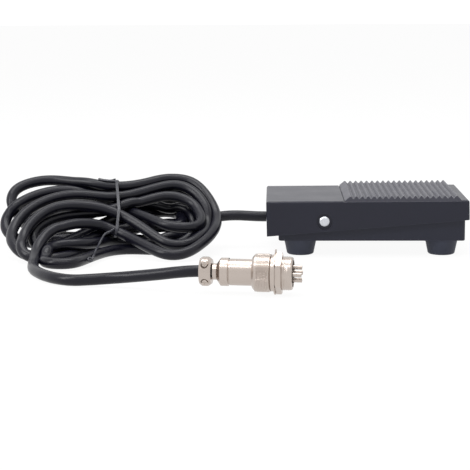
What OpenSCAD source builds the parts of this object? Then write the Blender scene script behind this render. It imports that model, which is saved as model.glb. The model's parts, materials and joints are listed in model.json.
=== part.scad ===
// Pocket-size foot switch on a hanked cord with a mated round metal connector.
// Millimetres. The origin is on the floor under the middle of the pedal cover.
// +X points to the toe end, +Y to the far side, +Z up.

/* [Pedal cover] */
// Length of the pedal cover
cover_l = 109.4; // [105:0.2:115]
// Width of the pedal cover
cover_w = 68; // [62:1:74]
// Height of the cover's heel wall, skirt edge to top face
cover_heel_h = 19; // [18.5:0.1:20]
// Height of the cover's toe wall, skirt edge to top face
cover_toe_h = 10.7; // [10:0.1:11.5]
// Thickness of the skirt walls
cover_wall = 1.8; // [1.6:0.1:2.2]
// Thickness of the top plate
cover_top = 2.4; // [2:0.1:2.8]
// How far the foot of the heel wall leans towards the toe
heel_lean = 0.4; // [0:0.1:1.5]
// How far the foot of the toe wall stands beyond its top edge
toe_lean = 0.4; // [0:0.1:1]
// Edge radius of the cover
cover_edge_r = 1.2; // [0.6:0.1:1.6]
// Radius of the upright corners of the cover
cover_corner_r = 1.6; // [0.8:0.1:3]
// Running gap between the skirt and the base
skirt_gap = 0.3; // [0.3:0.05:0.5]

/* [Ribbed tread] */
// Distance from the toe edge of the cover to the tread
tread_end = 4.7; // [4:0.1:6]
// Distance between two ribs
rib_pitch = 3.16; // [2.9:0.01:3.2]
// Number of ribs
rib_count = 19; // [14:1:19]
// Height of a rib above the valley beside it
rib_h = 1.3; // [0.8:0.1:1.8]
// Height of the valleys above the top plate
valley_h = 1.2; // [0.8:0.1:1.8]
// Flat on the crest of a rib
rib_flat = 0.5; // [0.3:0.05:0.9]
// Depth of the seat that the tread lies in
tread_seat = 0.6; // [0.3:0.1:1]
// Open groove at the heel end of the tread
tread_groove = 0.6; // [0.3:0.1:1]

/* [Base tray] */
// Thickness of the tray's floor
base_floor = 2.2; // [1.8:0.1:2.4]
// Thickness of the tray's walls
base_wall = 2; // [1.8:0.1:2.4]
// Distance from the cover's heel edge to the tray's heel wall
base_heel_inset = 6.7; // [6:0.1:7.4]
// Radius of the tray's upright corners
base_corner_r = 2; // [1:0.1:3]
// Radius of the tray's lower edges
base_edge_r = 0.8; // [0.4:0.1:1.2]
// Height of the skirt edge above the tray's underside, at the heel
skirt_lift = 2.6; // [2:0.1:3.5]
// How much higher the skirt edge is at the toe than at the heel
skirt_rise = 9; // [8.4:0.1:9.4]
// Working gap between the tray's rim and the parts of the cover that pass it
rim_gap = 0.4; // [0.3:0.1:0.8]

/* [Rubber feet] */
// Height of a rubber foot
foot_h = 8.4; // [7:0.1:10]
// Radius of a foot at the tray
foot_top_r = 8.9; // [8:0.05:9]
// Radius of a foot at the floor
foot_bottom_r = 7.4; // [6.6:0.05:7.8]
// Edge radius at the floor
foot_edge_r = 1.2; // [0.6:0.1:1.6]
// Distance from the tray's ends to the middles of the feet
foot_inset_x = 11.9; // [9.6:0.05:15]
// Distance from the tray's sides to the middles of the feet
foot_inset_y = 9.2; // [9.2:0.1:12]
// Depth of the screw pocket in a foot
foot_pocket = 4.4; // [3.6:0.1:5]
// Height of the screw posts in the tray
foot_post_h = 6; // [5:0.1:7]

/* [Pivot] */
// Distance from the cover's heel edge to the pivot
pivot_inset = 31.4; // [28:0.2:34]
// Height of the pivot above the tray's underside
pivot_rise = 10.8; // [10:0.1:11.6]
// Travel of the pedal in degrees
pedal_travel = 3.6; // [2.5:0.1:3.8]
// Radius of the pivot screw's shoulder
shoulder_r = 1.9; // [1.7:0.05:2.2]
// Radius of the pivot screw's head
pivot_head_r = 2.65; // [2.4:0.05:3]
// Radius of the round pocket around the head
pivot_pocket_r = 4.45; // [4:0.05:5]
// Depth of that pocket
pivot_pocket = 1; // [0.6:0.1:1]

/* [Screws] */
// Radius of the threads that hold in plastic
screw_r = 1.45; // [1.3:0.05:1.6]
// Clearance between a screw and its hole
screw_fit = 0.05; // [0.02:0.01:0.1]
// Radius of the heads under the feet
foot_head_r = 2.9; // [2.6:0.1:3.1]

/* [Snap switch] */
// Length of the snap switch's case
case_l = 19.8; // [19:0.1:21]
// Thickness of the case
case_t = 6.4; // [6:0.1:7]
// Height of the case
case_h = 10.2; // [9.8:0.1:10.4]
// Distance from the pivot to the case's toe end
case_reach = 27.2; // [26.4:0.1:28]
// Distance between the two fixing holes of the case
case_hole_pitch = 9.5; // [9:0.1:10]
// Radius of the fixing screws
case_screw_r = 1.15; // [1:0.05:1.2]
// Radius of the plunger
plunger_r = 1.2; // [1:0.05:1.4]
// Distance from the lever's hinge to the plunger
plunger_arm = 6.5; // [6:0.1:7.5]
// Distance from the lever's hinge to the line where the pedal presses
press_arm = 13.5; // [12.5:0.1:14]
// Thickness of the lever
lever_t = 0.4; // [0.3:0.05:0.5]
// Rise of the lever at rest in degrees
lever_rise = 6.7; // [6.4:0.1:7]

/* [Return spring] */
// Distance from the pivot to the spring
spring_reach = 53.4; // [48:0.2:58]
// Mean radius of the coil
spring_r = 3.7; // [3.4:0.1:4.5]
// Radius of the wire
wire_r = 0.5; // [0.4:0.05:0.6]
// Number of turns
spring_turns = 7; // [5:1:8]
// Radius of the two spring seats
seat_r = 2.6; // [2:0.1:2.8]

/* [Cord] */
// Diameter of the cord
cord_d = 5.8; // [5:0.1:6.2]
// Height of the cord's axis above the tray's underside
cord_rise = 8.6; // [7.6:0.1:9]
// Diameter of a single wire
lead_d = 1.6; // [1.2:0.1:1.8]
// Clearance of the cord in the grommet, clamp and connector
cord_fit = 0.05; // [0.02:0.01:0.1]

/* [Connector] */
// Thread diameter of the panel socket, outside
thread_d = 15.7; // [15.6:0.1:16]
// Outside radius of the coupling ring
ring_r = 9; // [8.9:0.1:9.3]
// Length of the coupling ring
ring_l = 8.7; // [8:0.1:9.5]
// Outside radius of the plug's shell
shell_r = 6.35; // [6.2:0.05:6.4]
// Wall of the plug's shell
shell_wall = 0.9; // [0.8:0.1:1]
// Radius of the clamp collar
collar_r = 7; // [6.6:0.1:7.4]
// Length of the clamp collar
collar_l = 5.6; // [5:0.1:6]
// Width across the flats of the panel nut
nut_flats = 17.6; // [17.2:0.1:18]
// Thickness of the panel nut
nut_t = 2.8; // [2.4:0.1:3.2]
// Radius of the lock washer
washer_r = 10.2; // [9.6:0.1:10.5]
// Thickness of the lock washer
washer_t = 0.6; // [0.4:0.1:0.8]
// Running clearance of the metal connector parts
metal_fit = 0.06; // [0.03:0.01:0.1]
// Number of contacts
contact_count = 4; // [3:1:5]
// Radius of the circle that the contacts stand on
contact_ring_r = 3.1; // [2.9:0.1:3.3]
// Radius of a contact pin
contact_r = 0.75; // [0.6:0.05:0.8]
// Tilt of the connector as it lies, in degrees
plug_tilt = 0.2; // [0:0.1:1]
// Turn of the connector's axis towards the near side
plug_yaw = 7; // [0:0.5:12]

/* [Hidden] */

$fn = 64;
eps = 0.01;

// Levels and places of the tray and the cover
base_z = foot_h;
floor_z = base_z + base_floor;
heel_x = -cover_l / 2;
toe_x = cover_l / 2;
skirt_z = base_z + skirt_lift;
top_heel_z = skirt_z + cover_heel_h;
skirt_toe_z = skirt_z + skirt_rise;
top_toe_z = skirt_toe_z + cover_toe_h;
top_slope = atan((top_toe_z - top_heel_z) / cover_l);
pivot_x = heel_x + pivot_inset;
pivot_z = base_z + pivot_rise;
base_x0 = heel_x + base_heel_inset;
base_x1 = toe_x - cover_wall - skirt_gap;
base_hw = cover_w / 2 - cover_wall - skirt_gap;
function top_z(x) = top_heel_z + (x - heel_x) * tan(top_slope);
function under_z(x) = top_z(x) - cover_top;
function drop(x) = (x - pivot_x) * sin(pedal_travel);
rim_heel_z = under_z(base_x0) - rim_gap;
rim_toe_z = under_z(base_x1) - drop(base_x1) - rim_gap;

// Feet
foot_x = [base_x0 + foot_inset_x, base_x1 - foot_inset_x];
foot_y = [-base_hw + foot_inset_y, base_hw - foot_inset_y];
foot_post_r = foot_head_r + 1.2;
foot_screw_end = floor_z + foot_post_h - 1.4;

// Tread
tread_lead = 3.1;
tread_tail = 2.5;
tread_lip = 0.15;
tread_x1 = toe_x - tread_end;
first_rib_x = tread_x1 - tread_tail - (rib_count - 1) * rib_pitch;
tread_x0 = first_rib_x - tread_lead;

// Snap switch
lever_hinge_x = pivot_x + case_reach - case_l + 1.7;
case_x1 = pivot_x + case_reach;
case_x0 = case_x1 - case_l;
press_x = lever_hinge_x + press_arm;
press_r = 1.5;
press_w = 6;
press_gap = 0.25;
press_z = under_z(press_x) - 0.9;
lever_hinge_z = press_z - press_gap - press_arm * tan(lever_rise) - lever_t / 2 / cos(lever_rise);
lever_pin_r = 0.5;
lever_eye_r = 0.95;
case_z1 = lever_hinge_z - 1.1;
case_z0 = case_z1 - case_h;
case_hole_z = case_z0 + 2.9;
case_hole_x = (case_x0 + case_x1) / 2 - case_hole_pitch / 2;
plunger_x = lever_hinge_x + plunger_arm;
plunger_z = lever_hinge_z + plunger_arm * tan(lever_rise) - lever_t / 2 / cos(lever_rise) - 0.1;
plunger_depth = 1.6;
plunger_hole = 5;
plunger_in = 4;
ear_t = 0.8;
mount_wall = 3;
tab_w = 3.2;
tab_t = 0.5;
tab_drop = 1;
tab_reach = 4;
tab_root = 2;
tab_x = [case_x0 + 1.9, case_x0 + 9.4, case_x1 - 1.9];

// Spring
spring_x = pivot_x + spring_reach;
spring_top_z = under_z(spring_x + spring_r);
seat_low = 4;
seat_high = 3;

// Cord inside the tray
cord_r = cord_d / 2;
cord_z = base_z + cord_rise;
cord_end_x = base_x0 + 15;
clamp_x = base_x0 + 8;
clamp_l = 6;
clamp_post_y = cord_r + 5;
clamp_post_r = 3;
clamp_bar_t = 2.6;
clamp_z = cord_z + 2;
clamp_head_r = 2.4;
notch_r = cord_r + 1.5;
grommet_lip = 1.4;
grommet_r = cord_r + 1.7;
grommet_lip_r = grommet_r + 1.2;
grommet_in_r = min(grommet_lip_r, cord_z - floor_z - 0.1);

// Connector stations along its axis, from the back of the clamp collar
neck_s = collar_l + 0.6;
cone_s = 8;
ridge_s = 9.8;
groove_s = 14;
ring_s = 25.2;
ring_lip = 1.4;
stop_s = ring_s + ring_lip + 0.15;
socket_s = 28.6;
nose_s = 33;
flange_s = ring_s + ring_l + 0.1;
flange_t = 1.8;
washer_s = flange_s + flange_t;
nut_s = washer_s + washer_t + 0.03;
barrel_end_s = nut_s + nut_t + 5.1;
pin_end_s = barrel_end_s + 4.2;
ridge_r = shell_r + 0.4;
stop_r = shell_r + 0.95;
neck_r = cord_r + 1;
bore_r = shell_r - shell_wall;
nut_r = nut_flats / 2 / cos(30);
clamp_split = 0.2;
clamp_screw_r = 0.9;
clamp_screw_x = 4.4;
contact_tube_r = 1.25;
contact_at = [for (i = [0:contact_count - 1]) let (a = 90 + 360 * i / contact_count)
    contact_ring_r * [cos(a), sin(a)]];
pin_nose_s = 27;
washer_tab_r = 11.3;
plug_insert_s = 17;
tail_end_s = 9;
plug_z = 0.02 + max(nut_r * cos(plug_tilt) + (nut_s + nut_t) * sin(plug_tilt),
    washer_r * cos(plug_tilt) + nut_s * sin(plug_tilt));
plug_at = [-85.4, -131.8, plug_z];
plug_dir = [cos(plug_tilt) * cos(plug_yaw), -cos(plug_tilt) * sin(plug_yaw), -sin(plug_tilt)];
thread_r = thread_d / 2;
socket_bore_r = shell_r + metal_fit;
insert_s = flange_s + 1.2;

// Route of the cord from the switch to the hank
lead_route = [
    [cord_end_x, 0, cord_z], [-40, 0, cord_z], [heel_x, 0, cord_z], [-60, 0, 17.1], [-66, 0, 17.4],
    [-71, 0, 17.6], [-77, 0, 17.4], [-84, 0, 16.5], [-92, 0.5, 15.2]
];
// Route of the cord from the hank to the connector
tail_route = [
    [-168, -42.8, 16.5], [-174, -51.7, 11], [-175.5, -60.5, 6.2], [-175, -69.4, 3.8],
    [-174, -78.3, 3], [-172, -87.7, 3], [-168, -97.2, 3], [-162.5, -106, 3], [-156, -112.7, 3],
    [-148.5, -116.4, 3], [-141, -117.3, 3.4], [-133, -117.8, 4], [-125, -119.6, 4.9],
    [-115, -123.3, 6.4], [-105, -127, 8], [-96, -129.9, 9.5],
    plug_at - 2 * plug_dir, plug_at + tail_end_s * plug_dir
];
// The two loops of the hank in plan: middle and half axes
hank_heel = [-171.3, -26.1, 31.8, 43.3];
hank_toe = [-108.2, -12.8, 26.4, 34.4];
hank_top = 41;
hank_near = 10;
hank_side = [
    [-78, 0], [-78, hank_near], [-58, 17], [-12, hank_top], [27, hank_top], [27, 0]
];
// The waist of the hank, in Y and Z
waist_x = -137;
waist_l = 22;
waist_side = [[-35, 1.3], [-8.4, 1.3], [6, 6], [10.5, 30], [3.8, 38], [-5, 38], [-35, 6]];
tie_w = 2.2;
tie_t = 0.9;
tie_gap = 0.1;
tie_tail_r = 1.2;

// Points along an arc in a plane
function arc(c, r, a0, a1, n = 6) = [
    for (i = [0:n]) let (a = a0 + (a1 - a0) * i / n) [c[0] + r * cos(a), c[1] + r * sin(a)]
];

// Outline of a rectangle with round corners
function round_rect(x0, y0, x1, y1, r) = concat(
    arc([x0 + r, y0 + r], r, 180, 270), arc([x1 - r, y0 + r], r, 270, 360),
    arc([x1 - r, y1 - r], r, 0, 90), arc([x0 + r, y1 - r], r, 90, 180)
);

// A side outline, given in X and Z, as a body of width w across Y
module side_body(points, w) {
    translate([0, w / 2, 0]) rotate([90, 0, 0]) linear_extrude(w) polygon(points);
}

// A cross outline, given in Y and Z, as a body from x0 to x1
module cross_body(points, x0, x1) {
    translate([x0, 0, 0]) rotate([90, 0, 90]) linear_extrude(x1 - x0) polygon(points);
}

// A round bar along Y from y0 to y1
module bar_y(x, z, r, y0, y1) {
    translate([x, y1, z]) rotate([90, 0, 0]) cylinder(r = r, h = y1 - y0);
}

// A round bar along X from x0 to x1
module bar_x(y, z, r, x0, x1) {
    translate([x0, y, z]) rotate([0, 90, 0]) cylinder(r = r, h = x1 - x0);
}

// Everything on the cover's top face: local z = 0 lies on the face above x = 0
module on_top() {
    translate([0, 0, top_z(0)]) rotate([0, -top_slope, 0]) children();
}

// Tube of radius r swept along a list of points, with level cut ends
function unit(v) = v / norm(v);
function heading(p, i) = unit(p[min(i + 1, len(p) - 1)] - p[max(i - 1, 0)]);
function across(t) = unit(cross(t, abs(t[2]) > 0.9 ? [1, 0, 0] : [0, 0, 1]));
module tube(p, r, sides) {
    n = len(p);
    rings = [
        for (i = [0:n - 1]) let (t = heading(p, i), a = across(t), b = cross(t, a))
            for (k = [0:sides - 1]) p[i] + r * (cos(360 * k / sides) * a + sin(360 * k / sides) * b)
    ];
    walls = [
        for (i = [0:n - 2], k = [0:sides - 1]) let (j = (k + 1) % sides)
            [i * sides + k, (i + 1) * sides + k, (i + 1) * sides + j, i * sides + j]
    ];
    polyhedron(rings, concat(
        [[for (k = [0:sides - 1]) k]], walls,
        [[for (k = [sides - 1:-1:0]) (n - 1) * sides + k]]
    ));
}

// Everything on the connector: local z runs along its axis from the back of the clamp
module on_plug() {
    translate(plug_at) rotate([0, 90 + plug_tilt, -plug_yaw]) children();
}

// A turned body on the connector, given as radius and station
module turned(points) {
    on_plug() rotate_extrude() polygon(points);
}

// A round bar on the connector between two stations
module rod(x, y, r, s0, s1) {
    on_plug() translate([x, y, s0]) cylinder(r = r, h = s1 - s0);
}

// A round bar across the connector, along its Y
module cross_rod(x, s, r, y0, y1) {
    on_plug() translate([x, y1, s]) rotate([90, 0, 0]) cylinder(r = r, h = y1 - y0);
}

// Cross-shaped driver recess, cut downwards from z = 0
module driver_recess(span, slot, depth) {
    for (a = [0, 90]) rotate([0, 0, a]) translate([-span / 2, -slot / 2, -depth])
        cube([span, slot, depth + 1]);
}

// Pan head on the local z axis: its seat is at z = 0 and its recess faces up
module pan_head(r, h) {
    difference() {
        rotate_extrude() polygon([[0, 0], [r, 0], [r, 0.5 * h], [0.75 * r, h], [0, h]]);
        translate([0, 0, h]) driver_recess(1.1 * r, 0.24 * r, 0.5 * h);
    }
}

// Outer body of the cover: side, cross and plan outlines meet
module cover_body() {
    r = cover_edge_r;
    intersection() {
        side_body(concat(
            [[heel_x + heel_lean, skirt_z]],
            arc([heel_x + r, top_heel_z - r], r, 180, 90),
            arc([toe_x - toe_lean - r, top_toe_z - r], r, 90, 0),
            [[toe_x, skirt_toe_z]]
        ), cover_w);
        linear_extrude(top_toe_z + cover_top)
            polygon(round_rect(heel_x, -cover_w / 2, toe_x, cover_w / 2, cover_corner_r));
        on_top() cross_body(concat(
            [[-cover_w / 2, -top_toe_z]],
            arc([-cover_w / 2 + r, -r], r, 180, 90), arc([cover_w / 2 - r, -r], r, 90, 0),
            [[cover_w / 2, -top_toe_z]]
        ), heel_x - cover_wall, toe_x + cover_wall);
    }
}

// Hollow under the cover, open downwards
module cover_hollow() {
    low = skirt_z - 1;
    side_body([
        [heel_x + heel_lean + cover_wall, low], [heel_x + heel_lean + cover_wall, skirt_z],
        [heel_x + cover_wall, under_z(heel_x)],
        [toe_x - toe_lean - cover_wall, under_z(toe_x)],
        [toe_x - cover_wall, skirt_toe_z], [toe_x - cover_wall, low]
    ], cover_w - 2 * cover_wall);
}

module pedal_cover() {
    rib_y = 18;
    rib_t = 1.6;
    rib_drop = 1;
    rib_x0 = base_x0 + 8;
    rib_x1 = base_x1 - 8;
    color([0.19, 0.2, 0.22]) difference() {
        union() {
            difference() {
                cover_body();
                cover_hollow();
            }
            translate([spring_x, 0, spring_top_z - seat_high])
                cylinder(r = seat_r, h = seat_high + cover_top / 2);
            bar_y(press_x, press_z + press_r, press_r, -press_w / 2, press_w / 2);
            for (y = [-rib_y, rib_y]) translate([0, y, 0]) side_body([
                [rib_x0, under_z(rib_x0) + 1], [rib_x0 + 1, under_z(rib_x0) - rib_drop],
                [rib_x1 - 1, under_z(rib_x1) - rib_drop], [rib_x1, under_z(rib_x1) + 1]
            ], rib_t);
        }
        on_top() translate([tread_x0 - tread_groove, -cover_w, -tread_seat])
            cube([tread_x1 - tread_x0 + tread_groove, 2 * cover_w, 2 * tread_seat]);
        bar_y(pivot_x, pivot_z, shoulder_r + screw_fit, -cover_w, cover_w);
        bar_y(pivot_x, pivot_z, pivot_pocket_r, cover_w / 2 - pivot_pocket, cover_w);
        bar_y(pivot_x, pivot_z, pivot_pocket_r, -cover_w, -cover_w / 2 + pivot_pocket);
        translate([heel_x - 1, -notch_r, skirt_z - 1])
            cube([cover_wall + 3, 2 * notch_r, cord_z - skirt_z + 1]);
        bar_x(0, cord_z, notch_r, heel_x - 1, heel_x + cover_wall + 2);
    }
}

// The ribbed rubber tread: a band with a row of flat-topped ribs and a run-down at each end
module tread_pad() {
    h = valley_h + rib_h;
    color([0.36, 0.37, 0.39]) on_top() side_body(concat(
        [[tread_x0, -tread_seat], [tread_x0, tread_lip]],
        [for (i = [0:2 * (rib_count - 1)], k = [-1, 1])
            [first_rib_x + i * rib_pitch / 2 + k * rib_flat / 2, i % 2 == 0 ? h : valley_h]],
        [[tread_x1, tread_lip], [tread_x1, -tread_seat]]
    ), cover_w - 0.2);
}

// Side outline of the tray, given in X and Z
function tray_side() = concat(
    arc([base_x0 + base_edge_r, base_z + base_edge_r], base_edge_r, 180, 270, 4),
    arc([base_x1 - base_edge_r, base_z + base_edge_r], base_edge_r, 270, 360, 4),
    [[base_x1, rim_toe_z], [pivot_x, rim_heel_z], [base_x0, rim_heel_z]]
);

module base_shell() {
    pivot_post_r = 4.5;
    pivot_post_l = 5;
    wall_y = case_t / 2;
    saddle_w = 2 * cord_r + 3;
    color([0.17, 0.18, 0.2]) difference() {
        union() {
            difference() {
                intersection() {
                    side_body(tray_side(), 2 * base_hw);
                    linear_extrude(cover_w)
                        polygon(round_rect(base_x0, -base_hw, base_x1, base_hw, base_corner_r));
                }
                translate([0, 0, floor_z]) linear_extrude(cover_w) polygon(round_rect(
                    base_x0 + base_wall, -base_hw + base_wall,
                    base_x1 - base_wall, base_hw - base_wall, base_corner_r / 2));
            }
            for (x = foot_x, y = foot_y) translate([x, y, base_z + base_floor / 2])
                cylinder(r = foot_post_r, h = foot_post_h + base_floor / 2);
            for (side = [-1, 1]) bar_y(pivot_x, pivot_z, pivot_post_r,
                min(side * (base_hw - 1), side * (base_hw - base_wall - pivot_post_l)),
                max(side * (base_hw - 1), side * (base_hw - base_wall - pivot_post_l)));
            translate([case_x0, wall_y, floor_z - 1])
                cube([case_l, mount_wall, case_z1 - 0.4 - floor_z + 1]);
            for (side = [-1, 1]) translate([clamp_x, side * clamp_post_y, floor_z - 1])
                cylinder(r = clamp_post_r, h = clamp_z - floor_z + 1);
            translate([clamp_x - clamp_l / 2, -saddle_w / 2, floor_z - 1])
                cube([clamp_l, saddle_w, cord_z - floor_z + 1]);
            translate([spring_x, 0, floor_z - 1]) cylinder(r = seat_r, h = seat_low + 1);
            for (y = [-14, 14]) translate([base_x0 + 1, y - 0.7, floor_z - 1])
                cube([base_x1 - base_x0 - 2, 1.4, 2.4]);
        }
        for (x = foot_x, y = foot_y) translate([x, y, base_z - 1])
            cylinder(r = screw_r + screw_fit, h = foot_screw_end - base_z + 1.4);
        bar_y(pivot_x, pivot_z, screw_r + screw_fit, base_hw - 6.6, base_hw + 1);
        bar_y(pivot_x, pivot_z, screw_r + screw_fit, -base_hw - 1, -base_hw + 6.6);
        for (i = [0, 1]) bar_y(case_hole_x + i * case_hole_pitch, case_hole_z,
            case_screw_r + screw_fit, wall_y - 1, wall_y + mount_wall + 1);
        for (side = [-1, 1]) translate([clamp_x, side * clamp_post_y, floor_z + 0.8])
            cylinder(r = screw_r + screw_fit, h = clamp_z);
        bar_x(0, cord_z, cord_r + cord_fit, clamp_x - clamp_l, clamp_x + clamp_l);
        bar_x(0, cord_z, grommet_r, base_x0 - 1, base_x0 + base_wall + 0.5);
    }
}

// One rubber foot: a turned cushion with a pocket for its screw
module foot(x, y) {
    color([0.15, 0.16, 0.18]) translate([x, y, 0]) difference() {
        rotate_extrude() polygon(concat(
            [[0, 0]], arc([foot_bottom_r - foot_edge_r, foot_edge_r], foot_edge_r, 270, 360),
            [[foot_top_r, foot_h], [0, foot_h]]
        ));
        translate([0, 0, -1]) cylinder(r = foot_head_r + 0.3, h = foot_pocket + 1);
        translate([0, 0, -1]) cylinder(r = screw_r + screw_fit, h = foot_h + 2);
    }
}

module foot_heel_near() { foot(foot_x[0], foot_y[0]); }
module foot_heel_far() { foot(foot_x[0], foot_y[1]); }
module foot_toe_near() { foot(foot_x[1], foot_y[0]); }
module foot_toe_far() { foot(foot_x[1], foot_y[1]); }

module foot_screws() {
    color([0.75, 0.75, 0.74]) for (x = foot_x, y = foot_y) translate([x, y, foot_pocket]) {
        rotate([180, 0, 0]) pan_head(foot_head_r, 1.9);
        translate([0, 0, -eps]) cylinder(r = screw_r, h = foot_screw_end - foot_pocket + eps);
    }
}

// Shoulder screw at one end of the pivot; side is -1 for the near one
module pivot_screw(side) {
    head_y = cover_w / 2 - pivot_pocket + 0.1;
    color([0.75, 0.75, 0.74]) union() {
        bar_y(pivot_x, pivot_z, shoulder_r, min(side * base_hw, side * (head_y + 0.2)),
            max(side * base_hw, side * (head_y + 0.2)));
        bar_y(pivot_x, pivot_z, screw_r, min(side * (base_hw + 0.5), side * (base_hw - 6)),
            max(side * (base_hw + 0.5), side * (base_hw - 6)));
        translate([pivot_x, side * head_y, pivot_z]) rotate([-90 * side, 0, 0])
            pan_head(pivot_head_r, 0.85);
    }
}

module pivot_screw_near() { pivot_screw(-1); }
module pivot_screw_far() { pivot_screw(1); }

// Compression spring between the tray and the cover, with closed end turns
module return_spring() {
    steps = 16;
    z0 = floor_z + wire_r + 0.03;
    z1 = spring_top_z - wire_r - 0.03;
    rise = z1 - z0 - 2.2 * 2 * wire_r;
    function up(i) = let (t = i / steps, n = spring_turns)
        z0 + (t < 1 ? 2.2 * wire_r * t : t > n - 1 ? 2.2 * wire_r * (t - n + 2) + rise
            : 2.2 * wire_r + rise * (t - 1) / (n - 2));
    color([0.7, 0.71, 0.72]) tube([
        for (i = [0:spring_turns * steps]) let (a = 360 * i / steps)
            [spring_x + spring_r * cos(a), spring_r * sin(a), up(i)]
    ], wire_r, 8);
}

module snap_switch_case() {
    ear_in = case_t / 2 - ear_t;
    color([0.12, 0.12, 0.13]) difference() {
        union() {
            translate([case_x0, -case_t / 2, case_z0]) cube([case_l, case_t, case_h]);
            for (side = [-1, 1]) translate([0, side * (ear_in + ear_t / 2), 0]) side_body([
                [lever_hinge_x - 1.3, case_z1 - 1], [lever_hinge_x + 1.3, case_z1 - 1],
                [lever_hinge_x + 0.9, lever_hinge_z + 0.9],
                [lever_hinge_x - 0.9, lever_hinge_z + 0.9]
            ], ear_t);
            bar_y(lever_hinge_x, lever_hinge_z, lever_pin_r, -ear_in - 0.2, ear_in + 0.2);
        }
        for (i = [0, 1]) bar_y(case_hole_x + i * case_hole_pitch, case_hole_z,
            case_screw_r + screw_fit, -case_t, case_t);
        translate([plunger_x, 0, case_z1 - plunger_hole])
            cylinder(r = plunger_r + screw_fit, h = plunger_hole + 1);
        for (x = tab_x) translate([x - tab_w / 2, -tab_t / 2, case_z0 - 1])
            cube([tab_w, tab_t, 1 + tab_root]);
    }
}

// Three brass blades: up into the case, then bent over towards the near side
module snap_switch_terminals() {
    z = case_z0 - tab_drop;
    color([0.78, 0.62, 0.3]) for (x = tab_x) difference() {
        union() {
            translate([x - tab_w / 2, -tab_t / 2, z]) cube([tab_w, tab_t, tab_drop + tab_root]);
            translate([x - tab_w / 2, -case_t / 2 - tab_reach, z])
                cube([tab_w, case_t / 2 + tab_reach, tab_t]);
        }
        translate([x, -case_t / 2 - tab_reach + 1.1, z - 1]) cylinder(r = 0.6, h = 3);
    }
}

module snap_switch_plunger() {
    color([0.72, 0.2, 0.14]) translate([plunger_x, 0, case_z1 - plunger_in])
        rotate_extrude() polygon(concat([[0, 0], [plunger_r, 0]],
            arc([plunger_r - 0.5, plunger_z - case_z1 + plunger_in - 0.5], 0.5, 0, 90),
            [[0, plunger_z - case_z1 + plunger_in]]));
}

// Sheet lever with a rolled eye at its hinge
module snap_switch_lever() {
    w = case_t - 2 * ear_t - 0.3;
    color([0.78, 0.78, 0.76]) difference() {
        translate([lever_hinge_x, 0, lever_hinge_z]) rotate([0, -lever_rise, 0]) union() {
            bar_y(0, 0, lever_eye_r, -w / 2, w / 2);
            translate([0, -w / 2, -lever_t / 2]) cube([press_arm + 1.5, w, lever_t]);
        }
        bar_y(lever_hinge_x, lever_hinge_z, lever_pin_r + metal_fit, -w, w);
    }
}

module snap_switch_screws() {
    reach = case_t + mount_wall - 0.3;
    color([0.75, 0.75, 0.74]) for (i = [0, 1])
        translate([case_hole_x + i * case_hole_pitch, -case_t / 2, case_hole_z])
            rotate([90, 0, 0]) {
                pan_head(2, 1.3);
                translate([0, 0, -reach]) cylinder(r = case_screw_r, h = reach + eps);
            }
}

// Rubber grommet: a sleeve with a groove that holds it in the tray's heel wall
module cord_grommet() {
    a = base_x0 - grommet_lip;
    b = base_x0 + base_wall + grommet_lip;
    color([0.1, 0.1, 0.11]) translate([a, 0, cord_z]) rotate([0, 90, 0]) rotate_extrude() polygon([
        [cord_r + cord_fit, 0], [grommet_lip_r - 0.5, 0], [grommet_lip_r, 0.6],
        [grommet_lip_r, grommet_lip], [grommet_r, grommet_lip],
        [grommet_r, base_wall + grommet_lip], [grommet_in_r, base_wall + grommet_lip],
        [grommet_in_r, b - a], [cord_r + cord_fit, b - a]
    ]);
}

// Bar over the cord on the two clamp posts
module cord_clamp_bar() {
    w = 2 * (clamp_post_y + clamp_post_r);
    color([0.13, 0.13, 0.14]) difference() {
        translate([clamp_x - clamp_l / 2, -w / 2, clamp_z]) cube([clamp_l, w, clamp_bar_t]);
        bar_x(0, cord_z, cord_r + cord_fit, clamp_x - clamp_l, clamp_x + clamp_l);
        for (side = [-1, 1]) translate([clamp_x, side * clamp_post_y, clamp_z - 1])
            cylinder(r = screw_r + screw_fit, h = clamp_bar_t + 2);
    }
}

module cord_clamp_screws() {
    reach = clamp_z + clamp_bar_t - floor_z - 1.2;
    color([0.75, 0.75, 0.74]) for (side = [-1, 1])
        translate([clamp_x, side * clamp_post_y, clamp_z + clamp_bar_t]) {
            pan_head(clamp_head_r, 1.6);
            translate([0, 0, -reach]) cylinder(r = screw_r, h = reach + eps);
        }
}

// The two insulated wires, each from the cord's end to the top of its terminal blade
wire_y = -case_t / 2 - 2.4;
wire_split = 1.2;
tab_top = case_z0 - tab_drop + tab_t;
module wire_common() {
    x = tab_x[0];
    color([0.85, 0.83, 0.78]) tube([
        [cord_end_x, -wire_split, cord_z], [cord_end_x + 3, -wire_split, cord_z],
        [cord_end_x + 6.5, -2.6, cord_z + 0.4], [x - 8.5, -4.6, cord_z + 0.6],
        [x - 4, wire_y, cord_z + 0.2], [x - 1.4, wire_y, cord_z - 1], [x, wire_y, cord_z - 2.6],
        [x, wire_y, tab_top]
    ], lead_d / 2, 8);
}

module wire_switched() {
    x = tab_x[1];
    color([0.5, 0.13, 0.1]) tube([
        [cord_end_x, wire_split, cord_z], [cord_end_x + 3, wire_split, cord_z],
        [cord_end_x + 7, 0.2, cord_z + 1.6], [cord_end_x + 11, -3.5, cord_z + 3],
        [x - 10.4, wire_y - 1.8, cord_z + 2.8], [x - 5.4, wire_y - 2.6, cord_z + 2],
        [x - 2, wire_y - 1.3, cord_z + 0.6], [x - 0.3, wire_y - 0.2, cord_z - 1.6],
        [x, wire_y, cord_z - 2.8], [x, wire_y, tab_top]
    ], lead_d / 2, 8);
}

module cord_lead() { color([0.09, 0.09, 0.1]) tube(lead_route, cord_r, 10); }
module cord_tail() { color([0.09, 0.09, 0.1]) tube(tail_route, cord_r, 10); }

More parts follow.
